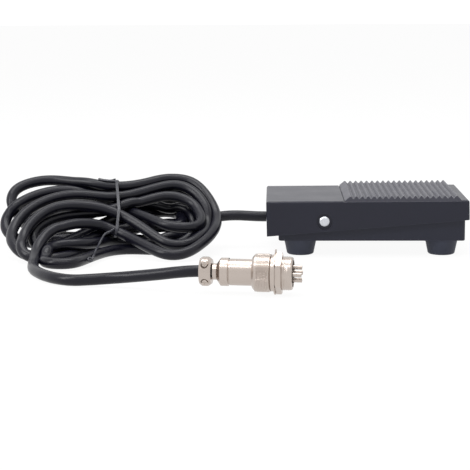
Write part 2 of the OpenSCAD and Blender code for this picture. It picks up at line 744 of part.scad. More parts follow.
function ellipse(e, n = 40) = [
    for (i = [0:n - 1]) [e[0] + e[2] * cos(360 * i / n), e[1] + e[3] * sin(360 * i / n)]
];

// The wound part of the cord as one body: two loops, high at the far side, and a waist
module cord_hank() {
    color([0.09, 0.09, 0.1]) union() {
        intersection() {
            union() {
                linear_extrude(hank_top) polygon(ellipse(hank_heel));
                linear_extrude(hank_top) polygon(ellipse(hank_toe));
            }
            cross_body(hank_side, hank_heel[0] - hank_top, hank_toe[0] + hank_top);
        }
        cross_body(waist_side, waist_x - waist_l / 2, waist_x + waist_l / 2);
    }
}

// Twist tie: a band round the waist and its twisted end on the near side
module hank_tie() {
    x0 = waist_x - tie_w / 2;
    color([0.1, 0.1, 0.11]) union() {
        translate([x0, 0, 0]) rotate([90, 0, 90]) linear_extrude(tie_w) difference() {
            offset(delta = tie_gap + tie_t) polygon(waist_side);
            offset(delta = tie_gap) polygon(waist_side);
        }
        tube([
            [waist_x, -26.4, 16], [waist_x - 2, -33.9, 13.5], [waist_x - 6, -41.7, 10],
            [waist_x - 9.5, -49.4, 6], [waist_x - 11, -55, 2]
        ], tie_tail_r, 8);
    }
}

// Near half of the cord clamp at the back of the plug, and the seats of its two screws
function clamp_profile() = [
    [0, 0], [collar_r - 0.8, 0], [collar_r, 1.2], [collar_r, collar_l - 1.6],
    [collar_r - 1.1, collar_l], [0, collar_l]
];
module clamp_cuts(deep) {
    rod(0, 0, cord_r + cord_fit, -1, collar_l + 1);
    for (x = [-clamp_screw_x, clamp_screw_x]) {
        cross_rod(x, collar_l / 2, clamp_screw_r + screw_fit, -collar_r, deep);
        cross_rod(x, collar_l / 2, 1.9, -2 * collar_r, -4.2);
    }
}

module plug_clamp_saddle() {
    color([0.8, 0.78, 0.74]) difference() {
        turned(clamp_profile());
        clamp_cuts(2);
        on_plug() translate([-2 * collar_r, -clamp_split, -1]) cube([4 * collar_r, 20, collar_l + 2]);
    }
}

module plug_clamp_screws() {
    color([0.8, 0.79, 0.77]) for (x = [-clamp_screw_x, clamp_screw_x]) {
        on_plug() translate([x, -4.2, collar_l / 2]) rotate([90, 0, 0]) pan_head(1.7, 1.2);
        cross_rod(x, collar_l / 2, clamp_screw_r, -4.2 - eps, 3.6);
    }
}

module plug_shell() {
    color([0.8, 0.78, 0.74]) difference() {
        union() {
            difference() {
                turned(clamp_profile());
                clamp_cuts(4);
                on_plug() translate([-2 * collar_r, clamp_split - 20, -1])
                    cube([4 * collar_r, 20, collar_l + 2]);
            }
            difference() {
                rod(0, 0, neck_r, collar_l - 0.8, neck_s + 0.5);
                on_plug() translate([-20, clamp_split - 20, collar_l - 2])
                    cube([40, 20, neck_s - collar_l + 2]);
            }
            turned([
                [0, neck_s], [neck_r, neck_s], [neck_r, cone_s], [ridge_r - 0.3, ridge_s],
                [ridge_r, ridge_s + 0.3], [ridge_r, groove_s - 0.3], [shell_r - 0.15, groove_s],
                [shell_r - 0.15, groove_s + 0.3], [shell_r, groove_s + 0.5], [shell_r, stop_s],
                [stop_r, stop_s], [stop_r, socket_s - 0.15], [shell_r, socket_s - 0.15],
                [shell_r, nose_s - 0.4], [shell_r - 0.4, nose_s], [0, nose_s]
            ]);
        }
        rod(0, 0, cord_r + cord_fit, -1, ridge_s + 1);
        rod(0, 0, bore_r, ridge_s + 0.6, nose_s + 1);
    }
}

module plug_insert() {
    color([0.12, 0.12, 0.12]) difference() {
        rod(0, 0, bore_r, plug_insert_s, nose_s - 0.6);
        for (p = contact_at) rod(p[0], p[1], contact_tube_r, plug_insert_s - 1, nose_s);
    }
}

// Contact tubes of the plug, each with a solder cup at the back
module plug_contacts() {
    color([0.83, 0.68, 0.35]) for (p = contact_at) difference() {
        rod(p[0], p[1], contact_tube_r, plug_insert_s - 2, nose_s - 1.2);
        rod(p[0], p[1], contact_r + metal_fit, pin_nose_s - 1, nose_s);
        rod(p[0], p[1], lead_d / 2, plug_insert_s - 3, plug_insert_s);
    }
}

// The two wires inside the plug, from the cord's end into the solder cups
module plug_wires() {
    color([0.85, 0.83, 0.78]) for (side = [-1, 1]) on_plug() tube([
        [0, side * 1.3, tail_end_s], [0, side * 1.3, tail_end_s + 1],
        [0, side * (contact_ring_r + 1.3) / 2, tail_end_s + 3],
        [0, side * contact_ring_r, tail_end_s + 5],
        [0, side * contact_ring_r, plug_insert_s]
    ], lead_d / 2 - 0.1, 8);
}

// Coupling ring: runs on the plug's shell behind its stop, over the socket's front barrel
module plug_coupling_ring() {
    end_s = ring_s + ring_l;
    inner_r = thread_r + metal_fit;
    color([0.8, 0.78, 0.74]) difference() {
        turned([
            [0, ring_s], [ring_r - 1.5, ring_s], [ring_r, ring_s + 1.3], [ring_r, end_s - 0.3],
            [ring_r - 0.3, end_s], [0, end_s]
        ]);
        rod(0, 0, shell_r + metal_fit, ring_s - 1, end_s);
        rod(0, 0, inner_r, ring_s + ring_lip, end_s + 1);
    }
}

module socket_shell() {
    color([0.8, 0.78, 0.74]) difference() {
        turned(concat([
            [0, socket_s], [thread_r - 0.3, socket_s], [thread_r, socket_s + 0.3],
            [thread_r, flange_s], [ring_r - 0.5, flange_s], [ring_r - 0.3, flange_s + 0.3],
            [ring_r - 0.3, washer_s], [thread_r, washer_s]
        ], [for (p = arc([thread_r - 1, barrel_end_s - 1], 1, 0, 90)) p], [[0, barrel_end_s]]));
        rod(0, 0, socket_bore_r, socket_s - 1, barrel_end_s + 1);
    }
}

module socket_insert() {
    color([0.12, 0.12, 0.12]) difference() {
        rod(0, 0, socket_bore_r, insert_s, barrel_end_s - 0.8);
        for (p = contact_at) rod(p[0], p[1], contact_r, insert_s - 1, barrel_end_s);
    }
}

module socket_pins() {
    cup_s = barrel_end_s - 0.8;
    color([0.83, 0.68, 0.35]) for (p = contact_at) {
        on_plug() translate([p[0], p[1], pin_nose_s]) rotate_extrude() polygon([
            [0, 0], [contact_r - 0.3, 0], [contact_r, 0.4], [contact_r, cup_s - pin_nose_s],
            [contact_r + 0.35, cup_s - pin_nose_s], [contact_r + 0.35, pin_end_s - pin_nose_s],
            [contact_r - 0.15, pin_end_s - pin_nose_s], [contact_r - 0.15, cup_s - pin_nose_s + 1.4],
            [0, cup_s - pin_nose_s + 1.4]
        ]);
    }
}

// Lock washer with one tab that stands up at the top
module socket_lock_washer() {
    color([0.78, 0.77, 0.74]) difference() {
        union() {
            rod(0, 0, washer_r, washer_s, washer_s + washer_t);
            on_plug() translate([-washer_tab_r, -1.3, washer_s])
                cube([washer_tab_r - thread_r, 2.6, washer_t]);
        }
        rod(0, 0, thread_r + metal_fit, washer_s - 1, nut_s + 1);
    }
}

module socket_nut() {
    color([0.82, 0.8, 0.76]) difference() {
        intersection() {
            on_plug() translate([0, 0, nut_s]) linear_extrude(nut_t)
                polygon([for (i = [0:5]) nut_r * [cos(60 * i), sin(60 * i)]]);
            turned([
                [0, nut_s], [nut_r - 0.7, nut_s], [nut_r + 0.3, nut_s + 0.55],
                [nut_r + 0.3, nut_s + nut_t - 0.55], [nut_r - 0.7, nut_s + nut_t], [0, nut_s + nut_t]
            ]);
        }
        rod(0, 0, thread_r + metal_fit, nut_s - 1, nut_s + nut_t + 1);
    }
}

base_shell();
pedal_cover();
tread_pad();
foot_heel_near();
foot_heel_far();
foot_toe_near();
foot_toe_far();
foot_screws();
pivot_screw_near();
pivot_screw_far();
return_spring();
snap_switch_case();
snap_switch_terminals();
snap_switch_plunger();
snap_switch_lever();
snap_switch_screws();
cord_grommet();
cord_clamp_bar();
cord_clamp_screws();
wire_common();
wire_switched();
cord_lead();
cord_hank();
hank_tie();
cord_tail();
plug_clamp_saddle();
plug_clamp_screws();
plug_shell();
plug_coupling_ring();
plug_insert();
plug_contacts();
plug_wires();
socket_shell();
socket_insert();
socket_pins();
socket_lock_washer();
socket_nut();
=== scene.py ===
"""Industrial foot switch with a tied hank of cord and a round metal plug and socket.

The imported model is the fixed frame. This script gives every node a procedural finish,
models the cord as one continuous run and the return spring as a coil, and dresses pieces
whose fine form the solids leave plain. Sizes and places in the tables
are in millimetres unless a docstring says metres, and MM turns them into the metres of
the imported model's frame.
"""

import json
import logging
import math
from dataclasses import dataclass, field
from enum import Enum
from typing import Sequence

import bmesh
import bpy
import numpy as np
from mathutils import Matrix, Vector, geometry


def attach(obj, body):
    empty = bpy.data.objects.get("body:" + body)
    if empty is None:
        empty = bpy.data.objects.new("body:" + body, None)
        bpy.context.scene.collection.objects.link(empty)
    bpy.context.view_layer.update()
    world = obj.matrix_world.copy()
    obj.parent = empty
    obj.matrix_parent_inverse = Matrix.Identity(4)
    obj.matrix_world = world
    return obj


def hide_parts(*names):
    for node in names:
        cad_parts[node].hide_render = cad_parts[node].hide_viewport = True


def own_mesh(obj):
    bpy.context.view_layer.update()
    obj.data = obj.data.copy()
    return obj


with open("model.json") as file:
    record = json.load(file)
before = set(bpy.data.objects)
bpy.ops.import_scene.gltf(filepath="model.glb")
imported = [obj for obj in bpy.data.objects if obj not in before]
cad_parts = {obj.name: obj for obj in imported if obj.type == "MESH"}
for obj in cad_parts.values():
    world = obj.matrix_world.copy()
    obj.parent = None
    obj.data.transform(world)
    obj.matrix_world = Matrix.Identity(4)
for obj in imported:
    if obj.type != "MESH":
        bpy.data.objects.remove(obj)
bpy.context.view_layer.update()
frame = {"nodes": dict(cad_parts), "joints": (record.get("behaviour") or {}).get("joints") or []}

LOG = logging.getLogger("foot_switch")
MM = 0.001
Point = tuple[float, float, float]


class Body(str, Enum):
    """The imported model's bodies that new pieces ride on."""

    BASE = "base"
    RING = "coupling_ring"
    SOCKET = "socket"


def to_linear(level: float) -> float:
    """Display level 0 to 255 as a linear value."""
    share = level / 255.0
    return share / 12.92 if share <= 0.04045 else ((share + 0.055) / 1.055) ** 2.4


def colour(red: float, green: float, blue: float) -> tuple[float, float, float, float]:
    """A display colour with channels 0 to 255 as linear RGBA."""
    return (to_linear(red), to_linear(green), to_linear(blue), 1.0)


def placed(name: str, data: bpy.types.ID) -> bpy.types.Object:
    """Adds an object with this data to the scene."""
    obj = bpy.data.objects.new(name, data)
    bpy.context.scene.collection.objects.link(obj)
    return obj


# -------- node helpers


class Sheet:
    """A node tree with short calls to add nodes and link them."""

    def __init__(self, tree: bpy.types.NodeTree) -> None:
        """Keeps the tree and empties it."""
        self.tree = tree
        tree.nodes.clear()

    def add(self, kind: str, **values: object) -> bpy.types.Node:
        """Adds one node.

        Args:
            kind: the node's type name.
            values: properties of the node, or unlinked sockets by name with _ for a space.

        Returns:
            The new node.
        """
        node = self.tree.nodes.new(kind)
        for name, value in values.items():
            if hasattr(node, name):
                setattr(node, name, value)
            else:
                node.inputs[name.replace("_", " ")].default_value = value
        return node

    def link(self, source: bpy.types.NodeSocket, target: bpy.types.NodeSocket) -> None:
        """Links an output socket to an input socket."""
        self.tree.links.new(source, target)

    def math(self, operation: str, *terms: object) -> bpy.types.NodeSocket:
        """A math node over sockets or numbers, clamped only where the operation is.

        Args:
            operation: the math node's operation name.
            terms: sockets or plain numbers, in order.

        Returns:
            The result socket.
        """
        node = self.add("ShaderNodeMath", operation=operation)
        for place, term in zip(node.inputs, terms):
            if isinstance(term, bpy.types.NodeSocket):
                self.link(term, place)
            else:
                place.default_value = float(term)
        return node.outputs[0]


class Effects:
    """Shader node groups that several finishes share."""

    edge_gain = 6.0
    noise_gain = 1.6
    # Noise level where the thin dust and the painted sheen on upward faces begin.
    dust_and_sheen_from = 0.42

    def __init__(self) -> None:
        """Builds the three groups once."""
        self.grain = self._grain()
        self.wear = self._wear()
        self.dust_and_sheen = self._dust_and_sheen()

    @staticmethod
    def _group(
        name: str, inputs: dict[str, float], outputs: Sequence[str]
    ) -> tuple[Sheet, bpy.types.Node, bpy.types.Node]:
        """An empty group with float inputs and outputs and their end nodes.

        Args:
            name: the group's name.
            inputs: input name to default value; "Vector" makes a vector socket.
            outputs: names of the float outputs.

        Returns:
            The sheet of the group's tree, its input node and its output node.
        """
        tree = bpy.data.node_groups.new(name, "ShaderNodeTree")
        for label, value in inputs.items():
            kind = "NodeSocketVector" if label == "Vector" else "NodeSocketFloat"
            socket = tree.interface.new_socket(label, in_out="INPUT", socket_type=kind)
            if kind == "NodeSocketFloat":
                socket.default_value = value
        for label in outputs:
            tree.interface.new_socket(label, in_out="OUTPUT", socket_type="NodeSocketFloat")
        sheet = Sheet(tree)
        return sheet, sheet.add("NodeGroupInput"), sheet.add("NodeGroupOutput")

    def _grain(self) -> bpy.types.NodeTree:
        """Fine moulded grain: a bump height and a slow shade change.

        Returns:
            The group, with the outputs Height and Shade.
        """
        sheet, start, end = self._group(
            "grain", {"Vector": 0.0, "Fine Scale": 1500.0, "Slow Scale": 40.0}, ("Height", "Shade")
        )
        fine = sheet.add("ShaderNodeTexNoise", Detail=3.0, Roughness=0.6)
        slow = sheet.add("ShaderNodeTexNoise", Detail=4.0, Roughness=0.5)
        for noise, label in ((fine, "Fine Scale"), (slow, "Slow Scale")):
            sheet.link(start.outputs["Vector"], noise.inputs["Vector"])
            sheet.link(start.outputs[label], noise.inputs["Scale"])
        sheet.link(fine.outputs[0], end.inputs["Height"])
        sheet.link(slow.outputs[0], end.inputs["Shade"])
        return sheet.tree

    def _wear(self) -> bpy.types.NodeTree:
        """Mask that is 1 on sharp edges, broken up by noise.

        Returns:
            The group, with the output Mask.
        """
        sheet, start, end = self._group(
            "edge_wear", {"Vector": 0.0, "Width": 0.0004, "Amount": 1.0}, ("Mask",)
        )
        bevel = sheet.add("ShaderNodeBevel", samples=4)
        surface = sheet.add("ShaderNodeNewGeometry")
        facing = sheet.add("ShaderNodeVectorMath", operation="DOT_PRODUCT")
        noise = sheet.add("ShaderNodeTexNoise", Scale=260.0, Detail=3.0)
        sheet.link(start.outputs["Width"], bevel.inputs["Radius"])
        sheet.link(start.outputs["Vector"], noise.inputs["Vector"])
        sheet.link(bevel.outputs[0], facing.inputs[0])
        sheet.link(surface.outputs["Normal"], facing.inputs[1])
        bent = sheet.math("SUBTRACT", 1.0, facing.outputs["Value"])
        edge = sheet.math("MULTIPLY", bent, self.edge_gain)
        patch = sheet.math("MULTIPLY", noise.outputs[0], self.noise_gain)
        broken = sheet.math("MULTIPLY", edge, patch)
        mask = sheet.math("MINIMUM", sheet.math("MULTIPLY", broken, start.outputs["Amount"]), 1.0)
        sheet.link(mask, end.inputs["Mask"])
        return sheet.tree

    def _dust_and_sheen(self) -> bpy.types.NodeTree:
        """Mask of thin dust and painted sheen on faces that look up.

        Returns:
            The group, with the output Mask.
        """
        sheet, start, end = self._group(
            "dust_and_sheen", {"Vector": 0.0, "Scale": 300.0, "Amount": 0.1}, ("Mask",)
        )
        surface = sheet.add("ShaderNodeNewGeometry")
        parts = sheet.add("ShaderNodeSeparateXYZ")
        noise = sheet.add("ShaderNodeTexNoise", Detail=5.0, Roughness=0.65)
        sheet.link(surface.outputs["Normal"], parts.inputs[0])
        sheet.link(start.outputs["Vector"], noise.inputs["Vector"])
        sheet.link(start.outputs["Scale"], noise.inputs["Scale"])
        upward = sheet.math("MAXIMUM", parts.outputs["Z"], 0.0)
        patch = sheet.math("MAXIMUM", sheet.math("SUBTRACT", noise.outputs[0], self.dust_and_sheen_from), 0.0)
        mask = sheet.math("MULTIPLY", sheet.math("MULTIPLY", upward, patch), start.outputs["Amount"])
        sheet.link(mask, end.inputs["Mask"])
        return sheet.tree


# Pale tone of thin dust, also used as a painted sheen on faces that look up.
DUST_AND_SHEEN_TONE = colour(196, 194, 190)


@dataclass(frozen=True)
class Finish:
    """One surface finish: its colours, its gloss and the size of its grain.

    base and edge are display colours with channels 0 to 255.
    Scales are features per metre. bump is the grain's height and wear_width the width of
    the worn edge, both in metres.
    """

    name: str
    base: Point
    edge: Point
    roughness: float
    metallic: float = 0.0
    specular: float = 0.5
    fine: float = 1500.0
    slow: float = 45.0
    shade: float = 0.10
    bump: float = 0.00002
    wear: float = 0.5
    wear_width: float = 0.0004
    # Share of thin dust and painted sheen that lighten the faces that look up.
    dust_and_sheen: float = 0.1
    rough_change: float = 0.15

    def build(self, effects: Effects) -> bpy.types.Material:
        """Makes the material.

        Args:
            effects: the shared node groups.

        Returns:
            The new material.
        """
        material = bpy.data.materials.new(self.name)
        material.use_nodes = True
        sheet = Sheet(material.node_tree)
        end = sheet.add("ShaderNodeOutputMaterial")
        shader = sheet.add(
            "ShaderNodeBsdfPrincipled",
            Metallic=self.metallic,
            Specular_IOR_Level=self.specular,
        )
        place = sheet.add("ShaderNodeTexCoord").outputs["Object"]
        grain = self._use(sheet, effects.grain, place, {"Fine Scale": self.fine, "Slow Scale": self.slow})
        wear = self._use(sheet, effects.wear, place, {"Width": self.wear_width, "Amount": self.wear})
        dust_and_sheen = self._use(sheet, effects.dust_and_sheen, place, {"Amount": self.dust_and_sheen})

        swing = sheet.math("MULTIPLY", grain.outputs["Shade"], 2 * self.shade)
        tone = sheet.math("ADD", 1.0 - self.shade, swing)
        shaded = sheet.add("ShaderNodeVectorMath", operation="SCALE")
        shaded.inputs[0].default_value = colour(*self.base)[:3]
        sheet.link(tone, shaded.inputs["Scale"])
        worn = self._mix(sheet, shaded.outputs[0], colour(*self.edge), wear.outputs["Mask"])
        # Thin dust and a painted sheen lighten the faces that look up.
        dust_and_sheen_mixed = self._mix(sheet, worn, DUST_AND_SHEEN_TONE, dust_and_sheen.outputs["Mask"])
        sheet.link(dust_and_sheen_mixed, shader.inputs["Base Color"])

        uneven = sheet.math("SUBTRACT", grain.outputs["Shade"], 0.5)
        change = sheet.math("MULTIPLY", uneven, self.rough_change)
        sheet.link(sheet.math("ADD", change, self.roughness), shader.inputs["Roughness"])

        relief = sheet.add("ShaderNodeBump", Strength=1.0, Distance=self.bump)
        sheet.link(grain.outputs["Height"], relief.inputs["Height"])
        sheet.link(relief.outputs[0], shader.inputs["Normal"])
        sheet.link(shader.outputs[0], end.inputs["Surface"])
        return material

    @staticmethod
    def _use(
        sheet: Sheet, tree: bpy.types.NodeTree, place: bpy.types.NodeSocket, values: dict[str, float]
    ) -> bpy.types.Node:
        """Adds a shared group to the sheet with its vector linked and its values set.

        Args:
            sheet: the material's sheet.
            tree: the group.
            place: the coordinates the group works on.
            values: input name to value.

        Returns:
            The group's node.
        """
        node = sheet.add("ShaderNodeGroup", node_tree=tree)
        sheet.link(place, node.inputs["Vector"])
        for name, value in values.items():
            node.inputs[name].default_value = value
        return node

    @staticmethod
    def _mix(
        sheet: Sheet,
        first: bpy.types.NodeSocket,
        second: tuple[float, float, float, float],
        mask: bpy.types.NodeSocket,
    ) -> bpy.types.NodeSocket:
        """Mixes a colour socket towards a fixed colour by a mask.

        Args:
            sheet: the material's sheet.
            first: the colour where the mask is 0.
            second: the colour where the mask is 1.
            mask: the share of the second colour.

        Returns:
            The mixed colour.
        """
        node = sheet.add("ShaderNodeMix", data_type="RGBA")
        place = next(s for s in node.inputs if s.name == "A" and s.type == "RGBA")
        target = next(s for s in node.inputs if s.name == "B" and s.type == "RGBA")
        target.default_value = second
        sheet.link(first, place)
        sheet.link(mask, node.inputs["Factor"])
        return next(s for s in node.outputs if s.type == "RGBA")


class Slot(str, Enum):
    """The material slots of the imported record."""

    COVER = "cover"
    TRAY = "tray"
    TREAD = "tread"
    FOOT = "foot_rubber"
    ZINC = "zinc_steel"
    SPRING = "spring_steel"
    CASE = "switch_case"
    BRASS = "brass"
    PLUNGER = "plunger"
    JACKET = "cord_jacket"
    WIRE_PALE = "wire_pale"
    WIRE_RED = "wire_red"
    TIE = "tie"
    NICKEL = "nickel"
    INSERT = "insert"


FINISHES: dict[Slot, Finish] = {
    Slot.COVER: Finish("cover_moulded", (35, 36, 49), (71, 73, 85), 0.4, specular=0.32, bump=0.00001),
    Slot.TRAY: Finish("tray_moulded", (35, 37, 51), (63, 65, 79), 0.44, specular=0.35, bump=0.00001),
    # The tread's high share is partly thin dust and partly a painted sheen on its upward faces.
    Slot.TREAD: Finish("tread_rubber", (68, 68, 79), (135, 135, 144), 0.5, dust_and_sheen=0.4),
    Slot.FOOT: Finish("foot_rubber", (46, 50, 66), (68, 71, 84), 0.6, wear=0.2),
    Slot.ZINC: Finish(
        "zinc_plated_steel", (205, 208, 214), (235, 236, 240), 0.3, 1.0, bump=0.000004
    ),
    Slot.SPRING: Finish(
        "spring_steel", (150, 150, 152), (200, 200, 204), 0.28, 1.0, bump=0.000003
    ),
    Slot.CASE: Finish("switch_case", (36, 36, 38), (70, 70, 72), 0.5),
    Slot.BRASS: Finish("brass", (205, 170, 104), (235, 208, 150), 0.3, 1.0, bump=0.000004),
    Slot.PLUNGER: Finish("plunger_plastic", (196, 40, 34), (220, 120, 110), 0.4),
    Slot.JACKET: Finish(
        "cord_jacket", (16, 16, 28), (16, 16, 28), 0.3, specular=0.3, fine=900.0,
        slow=30.0, bump=0.000012, wear=0.0, dust_and_sheen=0.0,
    ),
    Slot.WIRE_PALE: Finish("wire_pale", (214, 212, 204), (214, 212, 204), 0.4, wear=0.0),
    Slot.WIRE_RED: Finish("wire_red", (176, 32, 30), (176, 32, 30), 0.4, wear=0.0),
    Slot.TIE: Finish("tie_plastic", (48, 49, 58), (70, 70, 80), 0.35, wear=0.2),
    Slot.NICKEL: Finish(
        "nickel_plate", (190, 179, 171), (224, 216, 209), 0.26, 1.0, bump=0.000003,
        wear=0.35, wear_width=0.0002, dust_and_sheen=0.02,
    ),
    Slot.INSERT: Finish("insert_plastic", (30, 30, 32), (60, 60, 62), 0.45),
}


class Paints:
    """Every finish as a material, looked up by its slot."""

    def __init__(self) -> None:
        """Builds the shared groups and all materials."""
        effects = Effects()
        self.materials = {slot: finish.build(effects) for slot, finish in FINISHES.items()}

    def give(self, obj: bpy.types.Object, slot: Slot) -> None:
        """Puts one finish on an object in place of what it has."""
        obj.data.materials.clear()
        obj.data.materials.append(self.materials[slot])

    def finish_piece(self, obj: bpy.types.Object, slot: Slot, body: Body) -> None:
        """Gives a new piece its finish and its body.

        Args:
            obj: the piece.
            slot: the finish.
            body: the moving body it rides on.
        """
        self.give(obj, slot)
        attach(obj, body.value)


# -------- camera, light


@dataclass(frozen=True)
class CameraView:
    """The camera: its place in metres, and its turns down, aside and round its own axis in degrees.

    lens and sensor are in millimetres and clip_end in metres.
    """

    place: Point = (-50.3 * MM, -832.4 * MM, 141.0 * MM)
    down: float = 9.18
    aside: float = -1.52
    roll: float = -0.265
    lens: float = 114.9
    sensor: float = 36.0
    clip_end: float = 20.0

    def build(self) -> None:
        """Makes the camera and sets it as the scene's own."""
        down, aside, roll = (math.radians(a) for a in (self.down, self.aside, self.roll))
        ahead = Vector(
            (math.sin(aside) * math.cos(down), math.cos(aside) * math.cos(down), -math.sin(down))
        )
        level = Vector((math.cos(aside), -math.sin(aside), 0.0))
        upright = level.cross(ahead)
        right = level * math.cos(roll) + upright * math.sin(roll)
        up = upright * math.cos(roll) - level * math.sin(roll)
        turn = Matrix((right, up, -ahead)).transposed()
        data = bpy.data.cameras.new("camera")
        data.lens = self.lens
        data.sensor_width = self.sensor
        data.clip_end = self.clip_end
        camera = placed("camera", data)
        camera.matrix_world = Matrix.Translation(self.place) @ turn.to_4x4()
        bpy.context.scene.camera = camera


@dataclass(frozen=True)
class SoftBox:
    """A rectangular light: its place, what it looks at and its size in metres, and its power in watts."""

    name: str
    place: Point
    target: Point
    width: float
    height: float
    power: float

    def build(self) -> None:
        """Makes the light."""
        data = bpy.data.lights.new(self.name, "AREA")
        data.shape = "RECTANGLE"
        data.size = self.width
        data.size_y = self.height
        data.energy = self.power
        aim = Vector(self.target) - Vector(self.place)
        turn = aim.to_track_quat("-Z", "Y").to_matrix().to_4x4()
        placed(self.name, data).matrix_world = Matrix.Translation(self.place) @ turn


@dataclass(frozen=True)
class Studio:
    """Pale floor, white surroundings and soft boxes.

    floor_size is half the floor's side in metres. As a light, the world has the strength
    front_light towards -Y and back_light towards +Y, and falls to sky_share of it overhead.
    glow is the share of plain white in the floor where it is seen, at glow_strength.
    """

    floor_size: float = 6.0
    floor_tone: float = 0.86
    floor_roughness: float = 0.9
    floor_specular: float = 0.1
    front_light: float = 0.1
    back_light: float = 1.15
    sky_share: float = 0.4
    turn_of_light: tuple[float, float] = (-0.35, 0.3)
    fall_to_sky: tuple[float, float] = (0.3, 0.75)
    glow: float = 0.9
    glow_strength: float = 1.04
    boxes: tuple[SoftBox, ...] = (
        SoftBox("box_top", (-0.1, 0.1, 1.2), (-0.06, -0.05, 0.0), 1.1, 0.5, 8.2),
        SoftBox("box_left", (-0.9, -0.5, 0.7), (-0.1, -0.05, 0.0), 0.25, 0.8, 5.0),
        SoftBox("box_front", (0.0, -0.75, 1.25), (-0.06, -0.05, 0.0), 1.2, 0.25, 4.0),
    )

    def build(self) -> None:
        """Makes the floor, the world and the lights."""
        self._floor()
        self._world()
        for box in self.boxes:
            box.build()
        bpy.context.scene.view_settings.view_transform = "Standard"

    def _floor(self) -> None:
        """A wide pale floor that takes the object's shadow."""
        mesh = bpy.data.meshes.new("floor")
        form = bmesh.new()
        bmesh.ops.create_grid(form, x_segments=1, y_segments=1, size=self.floor_size)
        form.to_mesh(mesh)
        form.free()
        placed("floor", mesh)
        material = bpy.data.materials.new("floor_paper")
        material.use_nodes = True
        sheet = Sheet(material.node_tree)
        end = sheet.add("ShaderNodeOutputMaterial")
        shader = sheet.add(
            "ShaderNodeBsdfPrincipled",
            Base_Color=(self.floor_tone,) * 3 + (1.0,),
            Roughness=self.floor_roughness,
            Specular_IOR_Level=self.floor_specular,
        )
        glow = sheet.add("ShaderNodeEmission", Strength=self.glow_strength)
        blend = sheet.add("ShaderNodeMixShader")
        sheet.link(sheet.math("MULTIPLY", self._seen(sheet), self.glow), blend.inputs[0])
        sheet.link(shader.outputs[0], blend.inputs[1])
        sheet.link(glow.outputs[0], blend.inputs[2])
        sheet.link(blend.outputs[0], end.inputs["Surface"])
        mesh.materials.append(material)

    def _world(self) -> None:
        """White where it is seen or mirrored, and as a light bright behind and dim in front."""
        world = bpy.data.worlds.new("studio")
        bpy.context.scene.world = world
        world.use_nodes = True
        sheet = Sheet(world.node_tree)
        end = sheet.add("ShaderNodeOutputWorld")
        back = sheet.add("ShaderNodeBackground", Color=(1.0, 1.0, 1.0, 1.0))
        facing = sheet.add("ShaderNodeSeparateXYZ")
        sheet.link(sheet.add("ShaderNodeTexCoord").outputs["Generated"], facing.inputs[0])
        lights = (self.front_light, self.back_light)
        level = self._ramp(sheet, facing.outputs["Y"], self.turn_of_light, lights)
        height = self._ramp(sheet, facing.outputs["Z"], self.fall_to_sky, (1.0, self.sky_share))
        strength = sheet.math("MAXIMUM", sheet.math("MULTIPLY", level, height), self._seen(sheet))
        sheet.link(strength, back.inputs["Strength"])
        sheet.link(back.outputs[0], end.inputs["Surface"])

    @staticmethod
    def _seen(sheet: Sheet) -> bpy.types.NodeSocket:
        """Tells rays that are seen or mirrored from the rays that only light.

        Args:
            sheet: the sheet of the floor or the world.

        Returns:
            One for a ray from the camera, a reflection or a clear part, else zero.
        """
        path = sheet.add("ShaderNodeLightPath")
        through = sheet.math("MAXIMUM", path.outputs["Is Glossy Ray"], path.outputs["Is Transmission Ray"])
        return sheet.math("MAXIMUM", path.outputs["Is Camera Ray"], through)

    @staticmethod
    def _ramp(
        sheet: Sheet, value: bpy.types.NodeSocket, span: tuple[float, float], result: tuple[float, float]
    ) -> bpy.types.NodeSocket:
        """Maps a value smoothly from one span to another.

        Args:
            sheet: the world's sheet.
            value: the value to map.
            span: where the change starts and ends.
            result: what the value becomes there.

        Returns:
            The mapped value.
        """
        node = sheet.add("ShaderNodeMapRange", interpolation_type="SMOOTHSTEP")
        for name, number in zip(("From Min", "From Max", "To Min", "To Max"), span + result):
            node.inputs[name].default_value = number
        sheet.link(value, node.inputs["Value"])
        return node.outputs["Result"]


# -------- round rods


def rod_along(
    name: str, points: Sequence[Sequence[float]], radius: float, round_steps: int, along_steps: int
) -> bpy.types.Object:
    """A round rod along a smooth open curve, with closed ends.

    Args:
        name: the object's name.
        points: the curve's points in millimetres.
        radius: the rod's radius in millimetres.
        round_steps: the curve's bevel resolution.
        along_steps: the parts from one point to the next.

    Returns:
        The curve object.
    """
    data = bpy.data.curves.new(name, "CURVE")
    data.dimensions = "3D"
    data.bevel_depth = radius * MM
    data.bevel_resolution = round_steps
    data.resolution_u = along_steps
    data.use_fill_caps = True
    spline = data.splines.new("BEZIER")
    spline.bezier_points.add(len(points) - 1)
    for knot, place in zip(spline.bezier_points, points):
        knot.co = Vector(place) * MM
        knot.handle_left_type = knot.handle_right_type = "AUTO"
    return placed(name, data)


# -------- cord


QUARTER_STEPS = 4


@dataclass(frozen=True)
class HalfTurn:
    """One loop of the hank, from the waist round one end and back to the waist.

    Each point is in millimetres. slot is Y and Z at the waist, first and last are where
    the loop leaves and takes the straight run, and tip is its far point.
    """

    slot: tuple[float, float]
    first: Point
    tip: Point
    last: Point

    def points(self, waist: float) -> list[Vector]:
        """The loop's points in millimetres.

        Args:
            waist: X of the waist.

        Returns:
            The slot at the waist, then two elliptic quarters through the tip.
        """
        first, tip, last = Vector(self.first), Vector(self.tip), Vector(self.last)
        angle = 90 / QUARTER_STEPS
        run = [Vector((waist, *self.slot))]
        for side, steps in ((first, range(QUARTER_STEPS)), (last, range(QUARTER_STEPS, -1, -1))):
            run += [self._quarter(side, tip, math.radians(angle * step)) for step in steps]
        return run

    @staticmethod
    def _quarter(side: Vector, tip: Vector, angle: float) -> Vector:
        """A point of the quarter ellipse from a side point to the tip.

        Args:
            side: where the quarter starts, at angle 0.
            tip: where it ends, at a right angle.
            angle: the point's angle in radians.

        Returns:
            The point.
        """
        return Vector(
            (
                side.x + (tip.x - side.x) * math.sin(angle),
                tip.y + (side.y - tip.y) * math.cos(angle),
                tip.z + (side.z - tip.z) * math.cos(angle),
            )
        )


